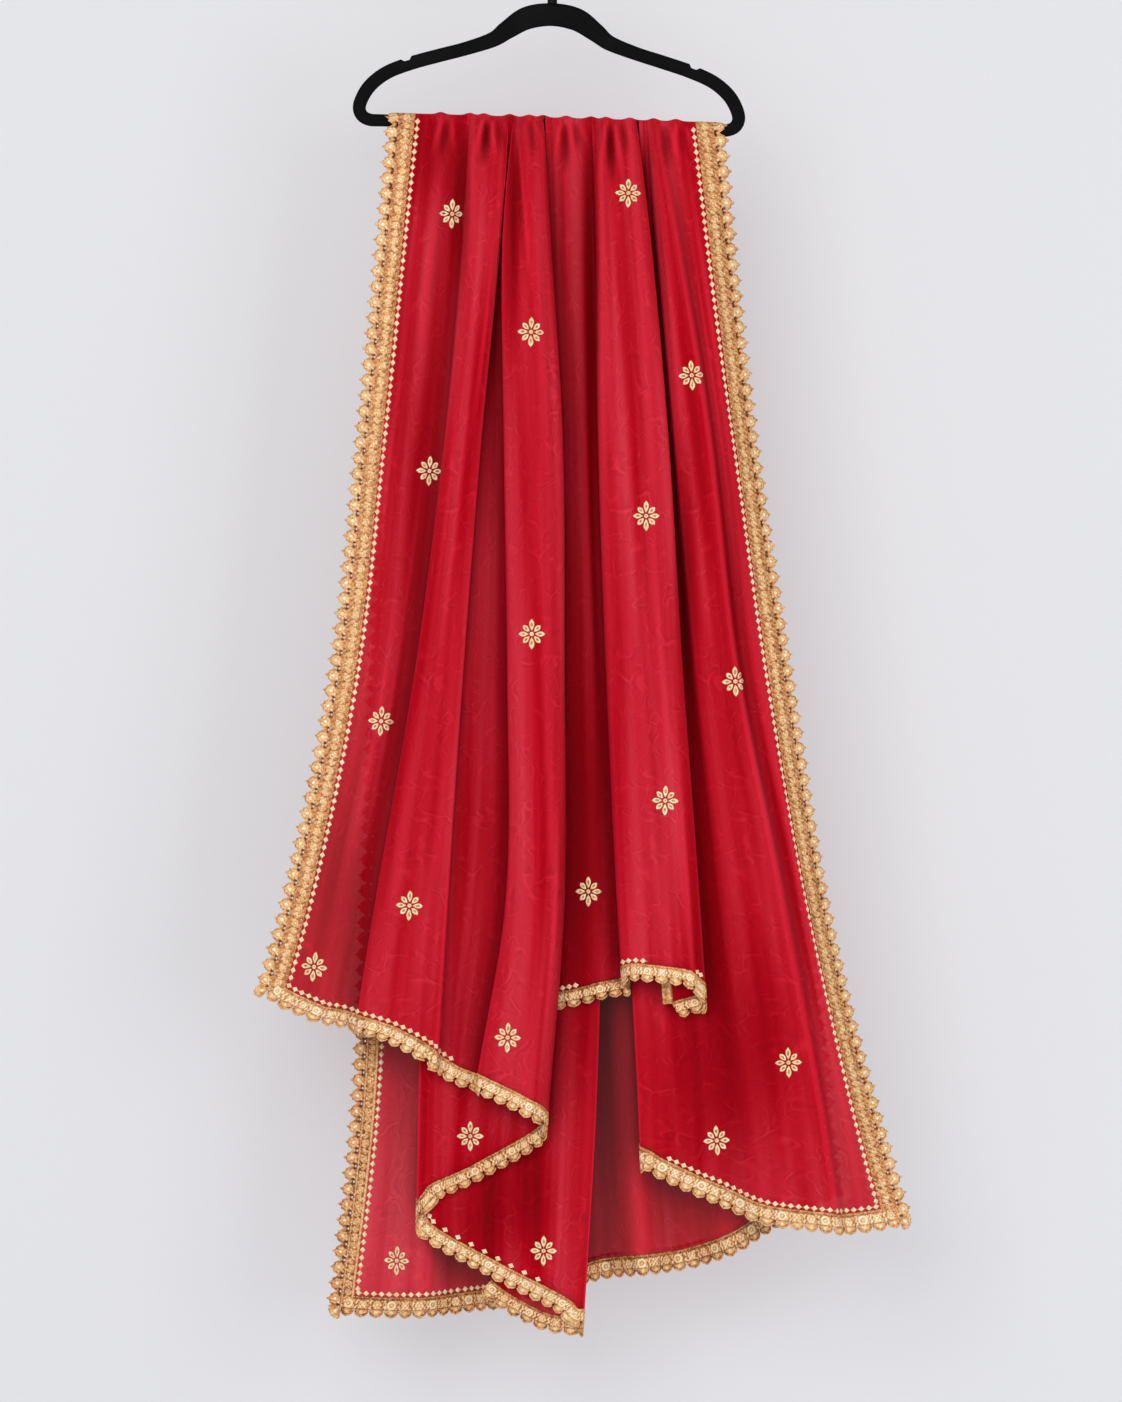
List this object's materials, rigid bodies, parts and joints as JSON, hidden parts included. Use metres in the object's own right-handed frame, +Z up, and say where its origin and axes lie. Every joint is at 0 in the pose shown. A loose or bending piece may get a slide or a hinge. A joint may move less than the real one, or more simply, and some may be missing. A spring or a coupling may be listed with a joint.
{
  "type": "dupatta stole on a clothes hanger",
  "caption": "Long semi-sheer stole with a scalloped lace border, folded over the bar of a flat clothes hanger so that it falls in soft pleats.",
  "frame": {"origin": "inner top of the hanger's hook, where it rests on a rail", "axes": "+Z up, the front of the stole faces -Y, +X to the right as seen from the front"},
  "size_m": [0.734, 0.1139, 1.5804],
  "materials": {
    "red_cloth": "semi-sheer crinkled weave with a soft sheen",
    "gold_lace": "dense embroidered metallic thread",
    "hanger_black": "matte, slightly soft to the touch",
    "hook_black": "satin black lacquer over steel wire"
  },
  "bodies": {
    "root": {"cloth_front_left": "red_cloth", "cloth_front_middle": "red_cloth", "cloth_front_right": "red_cloth", "cloth_back": "red_cloth", "lace_front_left_side": "gold_lace", "lace_front_right_side": "gold_lace", "lace_back_left_side": "gold_lace", "lace_back_right_side": "gold_lace", "lace_front_left_hem": "gold_lace", "lace_front_middle_hem": "gold_lace", "lace_front_right_hem": "gold_lace", "lace_back_hem": "gold_lace", "lace_front_middle_edge": "gold_lace", "hanger_frame": "hanger_black", "hanger_hook": "hook_black", "hook_collar": "hook_black"}
  },
  "joints": []
}
